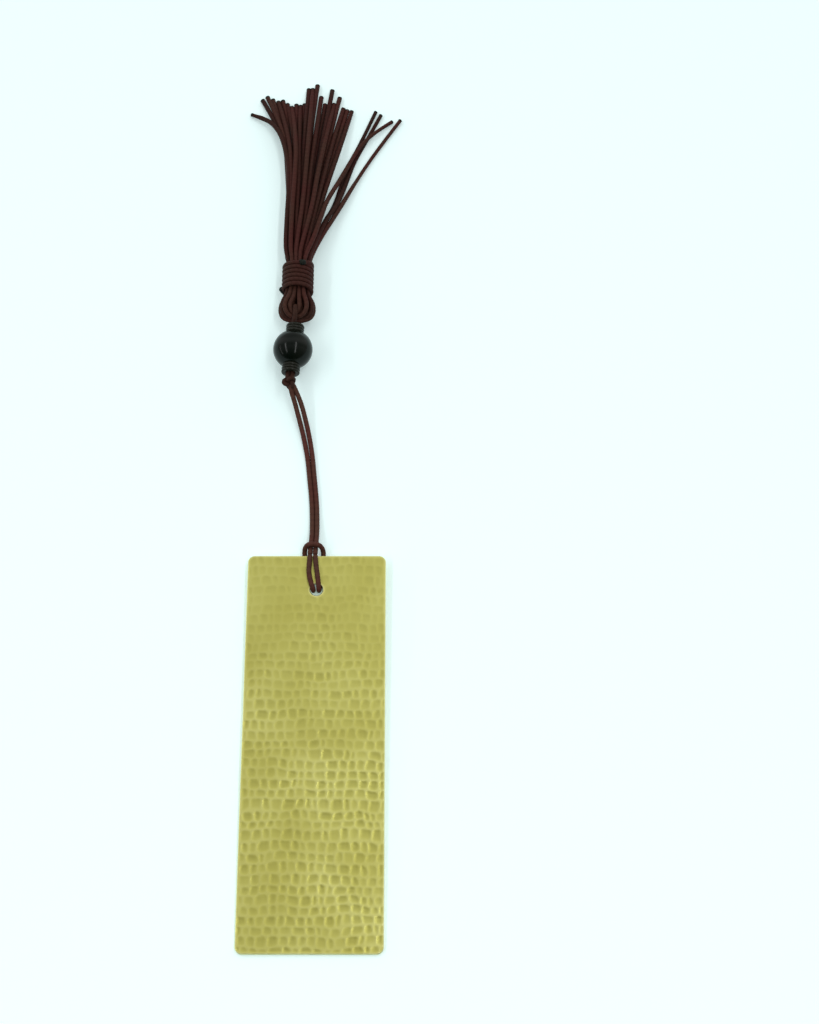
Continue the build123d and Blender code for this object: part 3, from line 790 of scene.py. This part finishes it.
def hammerTree():
    tree = bpy.data.node_groups.new("hammerMarks", "GeometryNodeTree")
    face = tree.interface
    face.new_socket("Blade", in_out="INPUT", socket_type="NodeSocketGeometry")
    sockets = {}
    for name in (*hammer["lengths"], *hammer["factors"]):
        sockets[name] = face.new_socket(name, in_out="INPUT", socket_type="NodeSocketFloat")
    sockets["seed"] = face.new_socket("seed", in_out="INPUT", socket_type="NodeSocketInt")
    sockets["finish"] = face.new_socket("finish", in_out="INPUT", socket_type="NodeSocketMaterial")
    face.new_socket("Blade", in_out="OUTPUT", socket_type="NodeSocketGeometry")
    given = addNode(tree, "NodeGroupInput").outputs

    def calc(operation, a, b=None, c=None):
        return mathNode(tree, operation, a, b, c)

    def noise(vector, scale):
        inputs = {"Vector": vector, "Scale": scale, "Detail": hammer["noiseDetail"]}
        return addNode(tree, "ShaderNodeTexNoise", inputs).outputs["Fac"]

    def wobble(name, reach):
        scale, shift = hammer["wobbles"][name]
        moved = addNode(tree, "ShaderNodeVectorMath", {0: place, 1: (shift, shift, 0)}, operation="ADD")
        level = calc("SUBTRACT", noise(moved.outputs[0], scale), 0.5)
        return calc("MULTIPLY", level, calc("MULTIPLY", reach, 2.0))

    def runs(along, jitter, spacing):
        def cells(feature):
            inputs = {"W": along, "Scale": 1.0, "Randomness": jitter}
            node = addNode(tree, "ShaderNodeTexVoronoi", inputs, voronoi_dimensions="1D", feature=feature)
            return node.outputs

        edge = cells("DISTANCE_TO_EDGE")
        run = cells("F1")
        chances = addNode(tree, "ShaderNodeSeparateXYZ", {0: run["Color"]}).outputs
        return run["W"], calc("MULTIPLY", edge["Distance"], spacing), chances

    def wall(reach, inset, chance):
        reach = calc("MAXIMUM", calc("SUBTRACT", reach, calc("MULTIPLY", inset, chance)), 0.0)
        short = calc("SUBTRACT", 1.0, calc("MINIMUM", calc("DIVIDE", reach, given["markRadius"]), 1.0))
        return calc("MULTIPLY", short, short)

    # wandering rows, each a run of marks of uneven width
    place = addNode(tree, "GeometryNodeInputPosition").outputs[0]
    parts = addNode(tree, "ShaderNodeSeparateXYZ", {0: place}).outputs
    rowWobble = calc("ADD", wobble("wander", given["wander"]), wobble("rowSway", given["sway"]))
    upRows = calc("DIVIDE", calc("ADD", parts[1], rowWobble), given["rowSpacing"])
    rowPlace = calc("ADD", upRows, given["seed"])
    row, toRow, _ = runs(rowPlace, given["rowJitter"], given["rowSpacing"])
    swayed = calc("ADD", parts[0], wobble("markSway", given["sway"]))
    acrossMarks = calc("DIVIDE", swayed, given["markSpacing"])
    alongRow = calc("MULTIPLY_ADD", row, given["rowStep"], acrossMarks)
    _, toSide, blow = runs(alongRow, given["jitter"], given["markSpacing"])
    force = rangeNode(tree, blow[0], (0.0, 1.0), (given["lightest"], given["hardest"]))
    sideWall = wall(toSide, given["sideInset"], blow[1])
    rowWall = wall(toRow, given["rowInset"], blow[2])
    bowl = calc("MAXIMUM", calc("SUBTRACT", 1.0, calc("ADD", sideWall, rowWall)), 0.0)
    # the blows land tipped, deeper towards the holed end
    tipped = calc("MULTIPLY_ADD", calc("SUBTRACT", rowPlace, row), given["tip"], 1.0)
    struck = calc("MULTIPLY", calc("MULTIPLY", bowl, force), tipped)
    # the marks fade towards the hole, and some patches are beaten more lightly
    fade = rangeNode(tree, parts[1], (given["fadeStart"], given["fadeEnd"]), (1.0, given["fadeTo"]))
    patch = rangeNode(tree, noise(place, given["patchScale"]), hammer["patchSpan"],
                      (given["patchLow"], given["patchHigh"]))
    fade = calc("MULTIPLY", fade, patch)
    take = addNode(tree, "GeometryNodeInputNamedAttribute", {"Name": "take"}, data_type="FLOAT").outputs[0]
    dent = calc("MULTIPLY", calc("MULTIPLY", struck, fade), take)
    # painted shade and highlight: the colour level follows the blow, darker where a mark is struck deep,
    # lighter on the ridges, and brightest on the edge, which takes no mark
    level = calc("MULTIPLY_ADD", calc("SUBTRACT", struck, given["paintedLightFrom"]), fade, given["paintedLightLevel"])
    paintedLight = calc("MULTIPLY", level, take)
    depth = calc("MULTIPLY", calc("MULTIPLY", dent, given["depth"]), -1.0)
    sink = addNode(tree, "ShaderNodeCombineXYZ", {2: depth})
    stored = {"Geometry": given["Blade"], "Name": "dent", "Value": paintedLight}
    store = addNode(tree, "GeometryNodeStoreNamedAttribute", stored, data_type="FLOAT", domain="POINT")
    moved = {"Geometry": store.outputs[0], "Offset": sink.outputs[0]}
    beaten = addNode(tree, "GeometryNodeSetPosition", moved)
    real = addNode(tree, "GeometryNodeRealizeInstances", {"Geometry": beaten.outputs[0]})
    coat = {"Geometry": real.outputs[0], "Material": given["finish"]}
    coated = addNode(tree, "GeometryNodeSetMaterial", coat)
    addNode(tree, "NodeGroupOutput", {0: coated.outputs[0]})
    return tree, {name: socket.identifier for name, socket in sockets.items()}


def evaluatedPiece(holder, name):
    depsgraph = bpy.context.evaluated_depsgraph_get()
    mesh = bpy.data.meshes.new_from_object(holder.evaluated_get(depsgraph), depsgraph=depsgraph)
    mesh.name = name
    bpy.data.objects.remove(holder)
    return link(bpy.data.objects.new(name, mesh))


bladeHolder = link(bpy.data.objects.new("flatBlade", bladeMesh()))
tree, identifiers = hammerTree()
modifier = bladeHolder.modifiers.new("hammerMarks", "NODES")
modifier.node_group = tree
for name, length in hammer["lengths"].items():
    modifier[identifiers[name]] = length * mm
for name, factor in hammer["factors"].items():
    modifier[identifiers[name]] = factor
modifier[identifiers["seed"]] = hammer["seed"]
modifier[identifiers["finish"]] = brassFinish
bladePiece = evaluatedPiece(bladeHolder, "brassBlade")
placed = bladePlace.copy()
placed.translation = placed.translation * mm
bladePiece.data.transform(placed)
bladePiece.data.polygons.foreach_set("use_smooth", [True] * len(bladePiece.data.polygons))
bladePiece.data.set_sharp_from_angle(angle=math.radians(blade["sharpAngle"]))
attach(bladePiece, "plate")
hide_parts("brass_plate")
print("blade", len(bladePiece.data.polygons))


# floor, sky and lamps, in metres
studio = {
    "floor": (0.800, 0.965, 0.960), "floorReach": 3.0, "floorDrop": 0.00002, "glow": 0.25, "skyPeak": 1.5,
    # place from south to north, and level
    "sky": [(0.04, 0.05), (0.25, 0.27), (0.45, 0.60), (0.57, 0.43),
            (0.635, 0.655), (0.70, 1.09), (0.80, 1.2), (0.93, 0.6)],
    # x, y, z, power and width
    "strips": [(-0.65, -0.2, 0.8, 2.0, 0.065), (0.29, -0.2, 0.8, 2.0, 0.065),
               (-1.25, -0.15, 0.35, 0.8, 0.04)],
    "stripLength": 1.15,
}
reach = studio["floorReach"]
floorMesh = bpy.data.meshes.new("floor")
floorCorners = [(-reach, -reach, 0), (reach, -reach, 0), (reach, reach, 0), (-reach, reach, 0)]
floorMesh.from_pydata(floorCorners, [], [(0, 1, 2, 3)])
floor = link(bpy.data.objects.new("floor", floorMesh))
floor.location.z = -studio["floorDrop"]
paper = bpy.data.materials.new("paleFloor")
paper.use_nodes = True
tree = paper.node_tree
tree.nodes.clear()
path = addNode(tree, "ShaderNodeLightPath").outputs
mirrored = mathNode(tree, "ADD", path["Is Glossy Ray"], path["Is Transmission Ray"])
seen = mathNode(tree, "ADD", path["Is Camera Ray"], mirrored)
floorColour = (*studio["floor"], 1)
matte = addNode(tree, "ShaderNodeBsdfDiffuse", {"Color": floorColour})
strength = mathNode(tree, "MULTIPLY", seen, studio["glow"])
glow = addNode(tree, "ShaderNodeEmission", {"Color": floorColour, "Strength": strength})
both = addNode(tree, "ShaderNodeAddShader", {0: matte.outputs[0], 1: glow.outputs[0]})
addNode(tree, "ShaderNodeOutputMaterial", {0: both.outputs[0]})
floorMesh.materials.append(paper)

world = bpy.data.worlds.new("softSky")
scene.world = world
world.use_nodes = True
tree = world.node_tree
direction = addNode(tree, "ShaderNodeTexCoord").outputs["Generated"]
north = addNode(tree, "ShaderNodeSeparateXYZ", {0: direction}).outputs[1]
spread = mathNode(tree, "MULTIPLY_ADD", north, 0.5, 0.5)
sky = rampNode(tree, spread, [(place, (level / studio["skyPeak"],) * 3) for place, level in studio["sky"]])
background = tree.nodes["Background"]
tree.links.new(sky, background.inputs["Color"])
background.inputs["Strength"].default_value = studio["skyPeak"]

for number, (x, y, z, power, width) in enumerate(studio["strips"]):
    lampData = bpy.data.lights.new(f"strip{number}", "AREA")
    lampData.shape = "RECTANGLE"
    lampData.size = width
    lampData.size_y = studio["stripLength"]
    lampData.energy = power
    lamp = link(bpy.data.objects.new(f"strip{number}", lampData))
    lamp.location = (x, y, z)
    lamp.rotation_euler.y = math.atan2(x, z)
print("studio ready")
